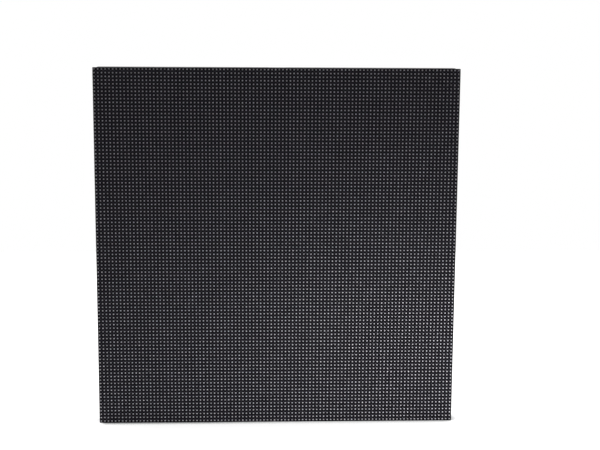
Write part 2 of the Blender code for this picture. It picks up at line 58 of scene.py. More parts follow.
BEVEL_FROM = math.radians(40)  # and a bevel takes the edges that are sharper than this

# Outline and depths
mask_low, mask_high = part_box("front_mask")
frame_low, frame_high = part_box("rear_frame")
OUTLINE = mask_high.x - mask_low.x
MIDDLE_Z = (mask_low.z + mask_high.z) / 2
FACE_Y = mask_low.y
MASK_DEPTH = 1.9 * MM
MASK_BACK = FACE_Y + MASK_DEPTH
BOARD_THICKNESS = 1.6 * MM
BOARD_FRONT = MASK_BACK + SEAT_GAP
BOARD_BACK = BOARD_FRONT + BOARD_THICKNESS
LED_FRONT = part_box("led_board")[0].y
FRAME_FRONT, FRAME_BACK = frame_low.y, frame_high.y

# Face
PIXELS = 100  # along each side
PITCH = 2.5 * MM
SIDE = PIXELS * PITCH
OPENING = 1.8 * MM
OPENING_CHAMFER = 0.12 * MM
GLINT_WIDTH = 0.2 * MM  # of the painted glints, pale spots on the mask's crossings
MASK_BAND_ROWS = 50
LED_SIZE = 1.5 * MM
LED_BAND_ROWS = 25
CUP_RADIUS = 0.5 * MM  # reflector cup of an LED, at the face
CUP_TAPER = 0.72  # radius of the cup's floor, as a share of its mouth's
CUP_DEPTH = 0.3 * MM

# Pins of the mask, which pass the board
PIN_RADIUS = 0.28 * MM
PIN_CHAMFER = 0.08 * MM
PIN_HOLE_RADIUS = 0.43 * MM
PIN_TIP = BOARD_BACK - 0.2 * MM  # short of the board's back
PIN_COLUMNS = [round(share * PIXELS) * PITCH - SIDE / 2 for share in (0.1, 0.5, 0.9)]
PIN_PLACES = [(x, MIDDLE_Z + z) for x in PIN_COLUMNS for z in PIN_COLUMNS]

# Board, and the chips and small capacitors on its back
BOARD_INSET = 0.3 * MM
BOARD_CORNER = 0.5 * MM
VIA_RADIUS = 0.2 * MM
GROUPS = 4  # bands of pixel rows that are driven together
DRIVERS = 19  # in each group
GROUP_HEIGHT = SIDE / GROUPS
DRIVER_PITCH = SIDE / (DRIVERS + 1)
LANE = GROUP_HEIGHT / 4  # half of the clear strip between a rib and a row of drivers
ROW_CHIP_COLUMNS = {5: (-6, -2, 2, 6), 3: (-2, 2), 1: (-6, 6)}  # by lanes from the middle
CHIP_HEIGHT = 1.75 * MM
CHIP_STANDOFF = 0.1 * MM
CHIP_TAPER = (0.93, 0.965)  # width and length of a package's rear face, as shares of its foot's
DIMPLE_RADIUS = 0.3 * MM
DIMPLE_DEPTH = 0.08 * MM
DIMPLE_PLACE = (0.3, 0.22)  # from the package's middle and from its end, in package widths
Package = namedtuple("Package", "length width leads lead_pitch reach")
DRIVER = Package(8.7 * MM, 3.9 * MM, 12, 0.635 * MM, 1.05 * MM)
ROW_CHIP = Package(9.9 * MM, 3.9 * MM, 8, 1.27 * MM, 1.05 * MM)
BUFFER = Package(12.8 * MM, 7.5 * MM, 10, 1.27 * MM, 1.4 * MM)
LEAD_THICKNESS = 0.15 * MM
LEAD_WIDTH = 0.25 * MM
LEAD_SUNK = 0.1 * MM  # length inside the package
LEAD_STRAIGHT = 0.45 * MM  # length before the bend
LEAD_SLOPE = 0.2 * MM  # how far out the bend comes down to the board
BYPASS_FROM_DRIVER = 6.2 * MM
BYPASS_LENGTH = 1.0 * MM
BYPASS_SIZE = 0.6 * MM  # width and height
BYPASS_EDGE = 0.06 * MM
BYPASS_CAP = 0.3 * MM  # length of the metal at each end
BYPASS_CAP_PROUD = 0.02 * MM

# Rear frame
FRAME_WALL = 2.0 * MM
FRAME_CORNER = 3.0 * MM
FRAME_CHAMFER = 1.0 * MM
RIB_THICKNESS = 2.0 * MM
RIB_X = 3.5 * DRIVER_PITCH
UPRIGHT_RIBS = (-RIB_X, RIB_X)
LEVEL_RIBS = (-GROUP_HEIGHT, 0, GROUP_HEIGHT)
BAY_RADIUS = 0.8 * MM
EDGE = 0.25 * MM  # small chamfer along the moulding's rear edges
STEP = 0.05 * MM  # the bosses end this much inside the ribs, so that no two ends share a plane
RIB_NOTCH_WIDTH = 14.0 * MM
RIB_NOTCH_DEPTH = 3.0 * MM
PRY_NOTCH_WIDTH = 12.0 * MM
PRY_NOTCH_DEPTH = 1.2 * MM
PRY_NOTCH_RISE = 2.5 * MM
BOSS_RADII = {
    "frame_screw": 4.2 * MM,
    "threaded_insert": 4.5 * MM,
    "mount_magnet": 8.0 * MM,
    "locating_pin": 4.0 * MM,
}
WEB_FRONT = BOARD_BACK + 3.4 * MM  # a screw's head pulls on this web, and its nut stands before it
WEB_BACK = WEB_FRONT + 2.0 * MM
CUP_FLOOR = FRAME_BACK - 3.8 * MM
NUT_WELL_RADIUS = 2.8 * MM
SHANK_HOLE_RADIUS = 1.55 * MM
HEAD_WELL_RADIUS = 2.6 * MM
MAGNET_CUP_RADIUS = 6.3 * MM
MAGNET_BORE_DEPTH = 6.8 * MM
INSERT_BORE_RADIUS = 2.7 * MM
INSERT_BORE_DEPTH = 6.0 * MM
LOCATOR_BORE_RADIUS = 2.3 * MM
LOCATOR_BORE_DEPTH = 6.3 * MM

# Ribbon-cable headers
HEADER_WALL = 1.2 * MM
HEADER_FLOOR = 2.3 * MM
HEADER_KEY_WIDTH = 4.5 * MM
HEADER_EDGE = 0.12 * MM
HEADER_PINS = 8
HEADER_ROWS = 2
HEADER_PIN_PITCH = 2.54 * MM
HEADER_PIN_SIZE = 0.64 * MM
HEADER_PIN_FOOT = 2.0 * MM  # depths of a pin's ends behind the header's foot
HEADER_PIN_TIP = 8.2 * MM
HEADER_POINT = 0.6 * MM
HEADER_POINT_TAPER = 0.4  # width of a point's end, as a share of the pin's

# Electrolytic capacitors
CAPACITOR_FOOT = 0.9 * MM
CAPACITOR_CORNER = 1.2 * MM

# Floor
FLOOR_MIDDLE = (0, 0.2, 0)
FLOOR_WIDTH = 2.4
FLOOR_DEPTH = 0.84

# Camera
AZIMUTH, ELEVATION, ROLL = math.radians(-2.42), math.radians(9.77), math.radians(0.38)
DISTANCE = 0.8695
TARGET = Vector((0.0159, FACE_Y, 0.14185))
FOCAL_PIXELS = 1255.8
IMAGE_WIDTH = 600
SENSOR = 36  # width, in millimetres as the camera's settings take it

# Nodes
COLOURS = {"data_type": "RGBA"}  # setting of a Mix node that takes and gives colours
METRE_WAVE = 0.314  # scale of a wave texture whose bands lie a metre apart


# Materials


def linear(colour):
    """An sRGB colour, given as six hex digits, as linear values with alpha."""
    values = [int(colour[i : i + 2], 16) / 255 for i in (0, 2, 4)]
    return (*[v / 12.92 if v <= 0.04045 else ((v + 0.055) / 1.055) ** 2.4 for v in values], 1)


def feed(tree, node, **inputs):
    """Gives each named input of a node a value, or the socket that feeds it.

    A name has _ for a space. Inputs that share a name go by their number, such as _1.
    """
    for name, value in inputs.items():
        key = int(name[1:]) if name[0] == "_" else name.replace("_", " ")
        if isinstance(value, bpy.types.NodeSocket):
            tree.links.new(value, node.inputs[key])
        else:
            node.inputs[key].default_value = value


def add(tree, kind, settings=None, **inputs):
    """A new shader node with its settings, and its inputs fed."""
    made = tree.nodes.new(kind)
    for name, value in (settings or {}).items():
        setattr(made, name, value)
    feed(tree, made, **inputs)
    return made


def material(name, colour, roughness, metallic=0.0, specular=0.5):
    """A material of one colour, with its node tree and shader, to which a finish is added."""
    made = bpy.data.materials.new(name)
    made.use_nodes = True
    made.diffuse_color = linear(colour)
    tree = made.node_tree
    shader = tree.nodes["Principled BSDF"]
    feed(tree, shader, Base_Color=linear(colour), Roughness=roughness, Metallic=metallic)
    feed(tree, shader, Specular_IOR_Level=specular)
    return made, tree, shader


def grain(tree, shader, millimetres, strength, height):
    """A bump of uneven grains, this wide and high in millimetres, that breaks up highlights."""
    here = add(tree, "ShaderNodeTexCoord").outputs["Object"]
    scale = 1 / (millimetres * MM)
    noise = add(tree, "ShaderNodeTexNoise", Vector=here, Scale=scale, Detail=3.0).outputs["Fac"]
    bump = add(tree, "ShaderNodeBump", Strength=strength, Distance=height * MM, Height=noise)
    feed(tree, shader, Normal=bump.outputs["Normal"])
    return noise


def plain(name, colour, roughness, metallic=0.0, grain_mm=0.15, strength=0.2):
    """A material of one colour under a fine grain, drawn as coarse as it needs to show."""
    made, tree, shader = material(name, colour, roughness, metallic)
    grain(tree, shader, grain_mm, strength, 0.01)
    return made


def bar_crossing(tree):
    """A value of 1 where the mask's bars cross, which falls to -1 halfway to the next crossing."""
    here = add(tree, "ShaderNodeTexCoord").outputs["Object"]
    scaled = add(
        tree, "ShaderNodeVectorMath", {"operation": "SCALE"}, _0=here, Scale=2 * math.pi / PITCH
    )
    middle = (0.0, 0.0, -2 * math.pi * MIDDLE_Z / PITCH)
    shifted = add(
        tree, "ShaderNodeVectorMath", {"operation": "ADD"}, _0=scaled.outputs[0], _1=middle
    )
    wave = add(tree, "ShaderNodeVectorMath", {"operation": "COSINE"}, _0=shifted.outputs[0])
    axes = add(tree, "ShaderNodeSeparateXYZ", Vector=wave.outputs[0]).outputs
    lower = add(tree, "ShaderNodeMath", {"operation": "MINIMUM"}, _0=axes["X"], _1=axes["Z"])
    return lower.outputs["Value"]


def each_random(tree, shift=0.0):
    """Random noise for each pixel of the face or, shifted by half a pitch, for each crossing."""
    here = add(tree, "ShaderNodeTexCoord").outputs["Object"]
    start = 2 * PIXELS + shift  # keeps the number of every cell above zero
    middle = (start, 0.0, start - MIDDLE_Z / PITCH)
    scaled = add(tree, "ShaderNodeVectorMath", {"operation": "SCALE"}, _0=here, Scale=1 / PITCH)
    shifted = add(
        tree, "ShaderNodeVectorMath", {"operation": "ADD"}, _0=scaled.outputs[0], _1=middle
    )
    cell = add(tree, "ShaderNodeVectorMath", {"operation": "FLOOR"}, _0=shifted.outputs[0])
    flat = add(
        tree, "ShaderNodeVectorMath", {"operation": "MULTIPLY"}, _0=cell.outputs[0], _1=(1, 0, 1)
    )
    return add(tree, "ShaderNodeTexWhiteNoise", Vector=flat.outputs[0])


def each_pixel(tree, shader, low, high, dimmest):
    """A base colour that goes by chance from low to high, and down to a share of its brightness."""
    noise = each_random(tree).outputs
    tint = add(
        tree, "ShaderNodeMix", COLOURS, Factor=noise["Value"], _6=linear(low), _7=linear(high)
    )
    parts = add(tree, "ShaderNodeSeparateColor", Color=noise["Color"])
    share = add(tree, "ShaderNodeMapRange", Value=parts.outputs["Green"], To_Min=dimmest).outputs[0]
    dimmed = add(
        tree, "ShaderNodeVectorMath", {"operation": "SCALE"}, _0=tint.outputs[2], Scale=share
    )
    feed(tree, shader, Base_Color=dimmed.outputs[0])


def mask_material():
    """Black polycarbonate moulded in a spark-eroded tool.

    It looks matt and nearly black, with a painted sheen that makes it a little lighter where the
    bars cross, and a painted glint, a pale spot, on many crossings.
    """
    made, tree, shader = material("moulded black polycarbonate", "0E0E12", 0.55, specular=0.05)
    noise = grain(tree, shader, 0.12, 0.35, 0.012)
    # Painted sheen: the bars' colour is a little lighter towards their crossings
    crossing = bar_crossing(tree)
    lighter = add(tree, "ShaderNodeMapRange", Value=crossing, From_Max=0.9).outputs[0]
    bars = add(
        tree, "ShaderNodeMix", COLOURS, Factor=lighter, _6=linear("040406"), _7=linear("2A2832")
    )
    # Painted glint: a pale spot on many of the crossings
    edge = math.cos(math.pi * GLINT_WIDTH / PITCH)
    glint_spot = add(
        tree, "ShaderNodeMath", {"operation": "GREATER_THAN"}, _0=crossing, _1=edge
    ).outputs[0]
    chance = each_random(tree, 0.5).outputs["Value"]
    painted_glint = add(tree, "ShaderNodeMath", {"operation": "MULTIPLY"}, _0=glint_spot, _1=chance).outputs[0]
    whole = add(
        tree, "ShaderNodeMix", COLOURS, Factor=painted_glint, _6=bars.outputs[2], _7=linear("8C8B92")
    )
    rough = add(tree, "ShaderNodeMapRange", Value=noise, To_Min=0.42, To_Max=0.62)
    feed(tree, shader, Base_Color=whole.outputs[2], Roughness=rough.outputs[0])
    return made


def led_body_material():
    """Black polyphthalamide moulded round each LED's leads: matt, and a little uneven in tone."""
    made, tree, shader = material("moulded black polyphthalamide", "161518", 0.6, specular=0.2)
    each_pixel(tree, shader, "171518", "151519", 0.85)
    return made


def led_resin_material():
    """Frosted epoxy cast in the LEDs' reflector cups: milky pale grey, so that each is a dot."""
    made, tree, shader = material("cast frosted epoxy", "D5D3DA", 0.35)
    each_pixel(tree, shader, "D8D3DA", "D2D1DA", 0.78)
    return made


def board_material():
    """Black solder mask, printed over the copper and cured.

    It looks satin, with bundles of tracks raised and a little lighter under it, and has a small
    dull dot of tin at each via. The tracks are drawn about 1 mm apart, so that they show.
    """
    made, tree, shader = material("cured black solder mask", "101214", 0.34, specular=0.35)
    here = add(tree, "ShaderNodeTexCoord").outputs["Object"]
    across, along = METRE_WAVE / (0.9 * MM), METRE_WAVE / (1.1 * MM)
    upright = add(tree, "ShaderNodeTexWave", {"bands_direction": "X"}, Vector=here, Scale=across)
    level = add(tree, "ShaderNodeTexWave", {"bands_direction": "Z"}, Vector=here, Scale=along)
    bundles = add(tree, "ShaderNodeTexNoise", Vector=here, Scale=1 / (16 * MM), Detail=0.0)
    bundle = bundles.outputs["Fac"]
    lying = add(tree, "ShaderNodeMath", {"operation": "GREATER_THAN"}, _0=bundle, _1=0.5).outputs[0]
    waves = {"_2": upright.outputs["Fac"], "_3": level.outputs["Fac"]}
    track = add(tree, "ShaderNodeMix", _0=lying, **waves).outputs[0]
    raised = add(tree, "ShaderNodeMapRange", Value=track, From_Min=0.45, From_Max=0.65).outputs[0]
    copper = add(
        tree, "ShaderNodeMix", COLOURS, Factor=raised, _6=linear("0C0D0F"), _7=linear("1D2023")
    )
    flat = add(
        tree, "ShaderNodeMapping", Vector=here, Rotation=(math.radians(-90), 0, 0)
    ).outputs[0]
    grid = {"Scale": 1 / PITCH, "Randomness": 0.15}
    cells = add(tree, "ShaderNodeTexVoronoi", {"voronoi_dimensions": "2D"}, Vector=flat, **grid)
    reach = cells.outputs["Distance"]
    radius = VIA_RADIUS / PITCH
    via = add(tree, "ShaderNodeMath", {"operation": "LESS_THAN"}, _0=reach, _1=radius).outputs[0]
    tinned = add(
        tree, "ShaderNodeMix", COLOURS, Factor=via, _6=copper.outputs[2], _7=linear("6E6B60")
    )
    bump = add(tree, "ShaderNodeBump", Strength=0.5, Distance=0.035 * MM, Height=raised).outputs[0]
    feed(tree, shader, Base_Color=tinned.outputs[2], Metallic=via, Normal=bump)
    return made


def thread_material():
    """Brass tapped with a fine thread: warm yellow metal, ringed every 0.5 mm along its bore."""
    made, tree, shader = material("tapped brass", "B99A4B", 0.28, 1.0)
    here = add(tree, "ShaderNodeTexCoord").outputs["Object"]
    scale = METRE_WAVE / (0.5 * MM)
    rings = add(
        tree, "ShaderNodeTexWave", {"bands_direction": "Y"}, Vector=here, Scale=scale
    ).outputs["Fac"]
    bump = add(tree, "ShaderNodeBump", Strength=0.6, Distance=0.15 * MM, Height=rings)
    feed(tree, shader, Normal=bump.outputs["Normal"])
    return made


def floor_material():
    """White painted board: matt and even, with a grey painted shadow where the panel stands on it.

    The painted shadow begins at the panel's left corner and is weaker to the right.
    """
    made, tree, shader = material("painted white board", "FFFFFF", 0.9, specular=0.1)
    # Painted shadow: the floor is darker where the panel stands close to it, by ambient occlusion
    open_share = add(
        tree, "ShaderNodeAmbientOcclusion", {"samples": 8}, Distance=8 * MM
    ).outputs["AO"]
    closing = {"From_Min": 0.55, "From_Max": 0.9, "To_Min": 1.0, "To_Max": 0.0}
    contact_shade = add(tree, "ShaderNodeMapRange", Value=open_share, **closing).outputs[0]
    here = add(tree, "ShaderNodeTexCoord").outputs["Object"]
    across = add(tree, "ShaderNodeSeparateXYZ", Vector=here).outputs["X"]
    # The painted shadow fades in at the panel's left corner and is weaker to the right
    corner = {"From_Min": -OUTLINE / 2, "From_Max": 4 * MM - OUTLINE / 2}
    left = add(tree, "ShaderNodeMapRange", Value=across, **corner).outputs[0]
    weaker = {"From_Min": -50 * MM, "From_Max": 10 * MM, "To_Min": 1.0, "To_Max": 0.55}
    right = add(tree, "ShaderNodeMapRange", Value=across, **weaker).outputs[0]
    ends = add(tree, "ShaderNodeMath", {"operation": "MULTIPLY"}, _0=left, _1=right).outputs[0]
    painted_shadow = add(tree, "ShaderNodeMath", {"operation": "MULTIPLY"}, _0=contact_shade, _1=ends).outputs[0]
    shaded = add(
        tree, "ShaderNodeMix", COLOURS, Factor=painted_shadow, _6=linear("FFFFFF"), _7=linear("767678")
    )
    feed(tree, shader, Base_Color=shaded.outputs[2])
    return made


MASK = mask_material()
LED_BODY = led_body_material()
LED_RESIN = led_resin_material()
BOARD = board_material()
THREADED = thread_material()
# Dull charcoal, with the uneven skin that glass fibres give a moulding
NYLON = plain("moulded glass-filled nylon", "1D1E20", 0.6, grain_mm=0.1, strength=0.4)
# Bright bluish grey, its highlights softened by the plating's crystals
STEEL = plain("zinc-plated turned steel", "B8BABD", 0.3, 1.0)
# Charcoal that still shines as metal does
DARK_STEEL = plain("blackened turned steel", "3A3B3E", 0.4, 1.0)
# Warm pale grey, a little dull
TIN = plain("tin-dipped turned brass", "C9C4B4", 0.35, 1.0)
# Clear reflections in an even, hard skin
NICKEL = plain("nickel-plated sintered magnet", "B4B5B8", 0.2, 1.0, strength=0.05)
# Soft black, smoother than the frame
POLYESTER = plain("moulded black polyester", "1B1B1D", 0.45)
# Milky white with a warm tint and broad highlights
WHITE_NYLON = plain("moulded white nylon", "E9E6DC", 0.45)
# Pale satin metal
CAN = plain("drawn aluminium", "BFC1C3", 0.32, 1.0)
# Greyish black, matt as chips are
EPOXY = plain("moulded black epoxy", "202123", 0.5)
# Light grey metal that glints along its bends
TINNED = plain("tin-plated pressed copper", "C4C4C2", 0.32, 1.0)
# Warm yellow with sharp highlights
GOLD = plain("gold-plated drawn brass", "D9B15A", 0.25, 1.0)
# Dull brown, like earthenware
CERAMIC = plain("fired brown ceramic", "7C654E", 0.4)
# Plain black with a faint gloss
PHENOLIC = plain("moulded black phenolic", "19191A", 0.4)


# Modelling


def named(obj, name):
    obj.name = name
    obj.data.name = name
    return obj


def only(obj):
    """Selects one object alone and makes it active."""
    bpy.ops.object.select_all(action="DESELECT")
    obj.select_set(True)
    bpy.context.view_layer.objects.active = obj


def apply_place(obj):
    only(obj)
    bpy.ops.object.transform_apply(location=True, rotation=True, scale=True)


def apply_modifiers(obj):
    only(obj)
    for modifier in list(obj.modifiers):
        bpy.ops.object.modifier_apply(modifier=modifier.name)


def block(name, low, high):
    """A box between two corners, its place in the mesh."""
    middle = [(a + b) / 2 for a, b in zip(low, high)]
    bpy.ops.mesh.primitive_cube_add(size=1, location=middle)
    obj = named(bpy.context.object, name)
    obj.scale = [b - a for a, b in zip(low, high)]
    apply_place(obj)
    return obj


def cylinder(name, x, z, radius, near, far, segments=32):
    """A rod along Y between two depths, its place in the mesh."""
    bpy.ops.mesh.primitive_cylinder_add(
        vertices=segments,
        radius=radius,
        depth=far - near,
        location=(x, (near + far) / 2, z),
        rotation=(math.radians(-90), 0, 0),
    )
    obj = named(bpy.context.object, name)
    apply_place(obj)
    return obj


def edit(obj, mode="FACE"):
    """Opens an object's mesh to shape it, with nothing selected."""
    only(obj)
    bpy.ops.object.mode_set(mode="EDIT")
    bpy.ops.mesh.select_mode(type=mode)
    bpy.ops.mesh.select_all(action="DESELECT")


def leave():
    bpy.ops.object.mode_set(mode="OBJECT")


def pick_faces(obj, test):
    """Selects the faces that pass the test of (centre, normal)."""
    shape = bmesh.from_edit_mesh(obj.data)
    for face in shape.faces:
        face.select_set(test(face.calc_center_median(), face.normal))
    shape.select_flush_mode()
    bmesh.update_edit_mesh(obj.data)


def pick_edges(obj, test):
    """Selects the edges whose two ends pass the test."""
    shape = bmesh.from_edit_mesh(obj.data)
    for edge in shape.edges:
        edge.select_set(test(edge.verts[0].co, edge.verts[1].co))
    bmesh.update_edit_mesh(obj.data)


def pick_open_edges(obj):
    """Selects the edges that one face or none holds."""
    shape = bmesh.from_edit_mesh(obj.data)
    for edge in shape.edges:
        edge.select_set(edge.is_boundary or edge.is_wire)
    bmesh.update_edit_mesh(obj.data)


def looks_back(centre, normal):
    return normal.y > FACING


def along_depth(a, b):
    return abs(a.y - b.y) > MM / 2


def draw_out(x, y, z):
    """Extrudes what is selected by a distance."""
    bpy.ops.mesh.extrude_region_move(TRANSFORM_OT_translate={"value": (x, y, z)})


def rescale(across, upward, middle):
    """Scales what is selected in the plane of the face, about a middle."""
    bpy.ops.transform.resize(value=(across, 1, upward), center_override=middle)


def array(obj, count, step, merge=False):
    row = obj.modifiers.new("Row", "ARRAY")
    row.count = count
    row.use_relative_offset = False
    row.use_constant_offset = True
    row.constant_offset_displace = step
    row.use_merge_vertices = merge
    row.merge_threshold = 0.001 * MM


def smooth(obj):
    """Shades the mesh smooth but for its sharp edges."""
    only(obj)
    bpy.ops.object.shade_smooth_by_angle(angle=SMOOTH_UP_TO)


def bevel(obj, width):
    """Rounds a little every sharp edge of a mesh."""
    edge = obj.modifiers.new("Edges", "BEVEL")
    edge.width = width
    edge.segments = 2
    edge.limit_method = "ANGLE"
    edge.angle_limit = BEVEL_FROM
    apply_modifiers(obj)
    smooth(obj)


def lathe(name, x, z, near, steps, segments=32):
    """A turned piece: a rod whose rear end is drawn out and scaled through steps of (radius, y)."""
    radius, y = steps[0]
    obj = cylinder(name, x, z, radius, near, y, segments)
    edit(obj)
    pick_faces(obj, looks_back)
    for new_radius, new_y in steps[1:]:
        draw_out(0, new_y - y, 0)
        share = new_radius / radius
        rescale(share, share, (x, new_y, z))
        radius, y = new_radius, new_y
    leave()
    smooth(obj)
    return obj


def profile(rear, points):
    """Steps for the lathe, from points of (radius, depth below the rear end) in millimetres."""
    return [(radius * MM, rear - depth * MM) for radius, depth in points]


def combine(obj, tools, operation):
    """A Boolean with several shapes at once, which are then removed."""
    group = bpy.data.collections.new("tools")
    bpy.context.scene.collection.children.link(group)
    for each in tools:
        group.objects.link(each)
    boolean = obj.modifiers.new("Shapes", "BOOLEAN")
    boolean.operation = operation
    boolean.operand_type = "COLLECTION"
    boolean.collection = group
    apply_modifiers(obj)
    for each in tools:
        bpy.data.objects.remove(each, do_unlink=True)
    bpy.data.collections.remove(group)
    return obj


def cut(obj, tools):
    return combine(obj, tools, "DIFFERENCE")


def fuse(obj, others):
    return combine(obj, others, "UNION")


def join(objects, name):
    only(objects[0])
    for each in objects:
        each.select_set(True)
    bpy.ops.object.join()
    return named(objects[0], name)


def turned_flat(obj, x, z):
    """The piece turned a quarter in the plane of the board, about a point."""
    turn = Matrix.Rotation(math.radians(90), 4, "Y")
    obj.data.transform(Matrix.Translation((x, 0, z)) @ turn @ Matrix.Translation((-x, 0, -z)))
    return obj


def paint(obj, *materials):
    obj.data.materials.clear()
    for each in materials:
        obj.data.materials.append(each)


def kind(node):
    """A CAD piece's name without its number."""
    return node.rstrip("0123456789").rstrip("_")


def numbered(base):
    """The CAD pieces of one kind."""
    return sorted(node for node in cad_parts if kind(node) == base)


def centre(node):
    low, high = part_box(node)
    return (low + high) / 2


def stand_for(piece, node):
    """Puts a finished piece on the body, in a CAD piece's stead."""
    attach(piece, "root")
    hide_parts(node)


# Face and board


def mask_band(name, first_row, rows):
    """A band of the mask: one socket modelled, repeated and trimmed to the outline."""
    x0, z0 = -SIDE / 2, MIDDLE_Z - SIDE / 2 + first_row * PITCH
    x1, z1 = x0 + PITCH, z0 + PITCH
    x, z = x0 + PITCH / 2, z0 + PITCH / 2

    def window(c, n):
        return abs(n.y) > FACING and abs(c.x - x) < NEAR and abs(c.z - z) < NEAR

    def outer_side(c, n):
        return min(abs(c.x - x0), abs(c.x - x1), abs(c.z - z0), abs(c.z - z1)) < NEAR

    obj = block(name, (x0, FACE_Y, z0), (x1, MASK_BACK, z1))
    bar = (PITCH - OPENING) / 2
    edit(obj)
    pick_faces(obj, lambda c, n: n.y < -FACING)
    bpy.ops.mesh.inset(thickness=bar - OPENING_CHAMFER, depth=0)
    bpy.ops.mesh.inset(thickness=OPENING_CHAMFER, depth=-OPENING_CHAMFER)
    pick_faces(obj, looks_back)
    bpy.ops.mesh.inset(thickness=bar, depth=0)
    pick_faces(obj, window)
    bpy.ops.mesh.delete(type="ONLY_FACE")
    bpy.ops.mesh.select_mode(type="EDGE")
    pick_open_edges(obj)
    bpy.ops.mesh.bridge_edge_loops()
    bpy.ops.mesh.select_mode(type="FACE")
    pick_faces(obj, outer_side)
    bpy.ops.mesh.delete(type="ONLY_FACE")
    bpy.ops.mesh.select_all(action="SELECT")
    bpy.ops.mesh.delete_loose()
    leave()
    array(obj, PIXELS, (PITCH, 0, 0), merge=True)
    array(obj, rows, (0, 0, PITCH), merge=True)
    apply_modifiers(obj)
    edit(obj, "EDGE")
    pick_open_edges(obj)
    bpy.ops.mesh.bridge_edge_loops()
    half = OUTLINE / 2
    for point, out in (
        ((-half, 0, 0), (-1, 0, 0)),
        ((half, 0, 0), (1, 0, 0)),
        ((0, 0, MIDDLE_Z - half), (0, 0, -1)),
        ((0, 0, MIDDLE_Z + half), (0, 0, 1)),
    ):
        bpy.ops.mesh.select_all(action="SELECT")
        bpy.ops.mesh.bisect(plane_co=point, plane_no=out, use_fill=True, clear_outer=True)
    bpy.ops.mesh.select_all(action="SELECT")
    bpy.ops.mesh.normals_make_consistent(inside=False)
    leave()
    paint(obj, MASK)
    return obj


def mask_pins():
    """The mask's moulded pins, each with a small chamfer round its tip."""
    steps = [(PIN_RADIUS, PIN_TIP - PIN_CHAMFER), (PIN_RADIUS - PIN_CHAMFER, PIN_TIP)]
    pins = [lathe("pin", x, z, MASK_BACK, steps, 16) for x, z in PIN_PLACES]
    return join(pins, "mask_pins")


def led_band(name, first_row, rows):
    """A band of LEDs: one package with resin in its reflector cup, repeated."""
    x = -SIDE / 2 + PITCH / 2
    z = MIDDLE_Z - SIDE / 2 + (first_row + 0.5) * PITCH
    half = LED_SIZE / 2
    obj = block(name, (x - half, LED_FRONT, z - half), (x + half, BOARD_FRONT, z + half))
    rim = (2 - CUP_TAPER) * CUP_RADIUS  # the cutter stands out of the cup as far as it goes in
    cup = cylinder("cup", x, z, rim, LED_FRONT - CUP_DEPTH, LED_FRONT + CUP_DEPTH, 8)
    edit(cup)
    pick_faces(cup, looks_back)
    share = CUP_TAPER * CUP_RADIUS / rim
    rescale(share, share, (x, LED_FRONT, z))
    leave()
    cut(obj, [cup])
    paint(obj, LED_BODY, LED_RESIN)
    for face in obj.data.polygons:
        corners = [obj.data.vertices[v].co for v in face.vertices]
        reach = max(math.hypot(corner.x - x, corner.z - z) for corner in corners)
        face.material_index = 1 if reach < CUP_RADIUS + NEAR else 0
    array(obj, PIXELS, (PITCH, 0, 0))
    array(obj, rows, (0, 0, PITCH))
    apply_modifiers(obj)
    return obj


def circuit_board():
    """The board itself, with rounded corners and the holes that the mask's pins pass."""
    half = OUTLINE / 2 - BOARD_INSET
    corners = (-half, BOARD_FRONT, MIDDLE_Z - half), (half, BOARD_BACK, MIDDLE_Z + half)
    obj = block("circuit_board", *corners)
    edit(obj, "EDGE")
    pick_edges(obj, along_depth)
    bpy.ops.mesh.bevel(offset=BOARD_CORNER, segments=4)
    leave()
    ends = (BOARD_FRONT - OVER, BOARD_BACK + OVER)
    return cut(obj, [cylinder("hole", x, z, PIN_HOLE_RADIUS, *ends, 24) for x, z in PIN_PLACES])


# Chips on the board


def chip_body(name, x, z, package, height):
    """A moulded package, upright, with tapered sides and a dimple that marks its first pin."""
    length, width = package.length, package.width
    rear = BOARD_BACK + height
    low = (x - width / 2, BOARD_BACK + CHIP_STANDOFF, z - length / 2)
    obj = block(name, low, (x + width / 2, rear, z + length / 2))
    edit(obj)
    pick_faces(obj, looks_back)
    rescale(*CHIP_TAPER, (x, rear, z))
    leave()
    side, inward = DIMPLE_PLACE
    at = (x - width * side, z + length / 2 - width * inward)
    cut(obj, [cylinder("dimple", *at, DIMPLE_RADIUS, rear - DIMPLE_DEPTH, rear + OVER, 12)])
    paint(obj, EPOXY)
    return obj


def chip_leads(name, x, z, package, height):
    """Two rows of bent leads: one lead modelled, repeated and mirrored."""
    middle = BOARD_BACK + height / 2
    start = z - package.lead_pitch * (package.leads - 1) / 2
    edge = x + package.width / 2 - LEAD_SUNK
    high = (edge + LEAD_STRAIGHT, middle + LEAD_THICKNESS, start + LEAD_WIDTH / 2)
    obj = block(name, (edge, middle, start - LEAD_WIDTH / 2), high)
    edit(obj)
    pick_faces(obj, lambda c, n: n.x > FACING)
    draw_out(LEAD_SLOPE, BOARD_BACK - middle, 0)
    draw_out(package.reach + LEAD_SUNK - LEAD_STRAIGHT - LEAD_SLOPE, 0, 0)
    leave()
    array(obj, package.leads, (0, 0, package.lead_pitch))
    apply_modifiers(obj)
    chip_middle = bpy.data.objects.new("chip middle", None)
    bpy.context.scene.collection.objects.link(chip_middle)
    chip_middle.location = (x, 0, 0)
    bpy.context.view_layer.update()
    mirror = obj.modifiers.new("Other side", "MIRROR")
    mirror.mirror_object = chip_middle
    apply_modifiers(obj)
    bpy.data.objects.remove(chip_middle, do_unlink=True)
    paint(obj, TINNED)
    return obj


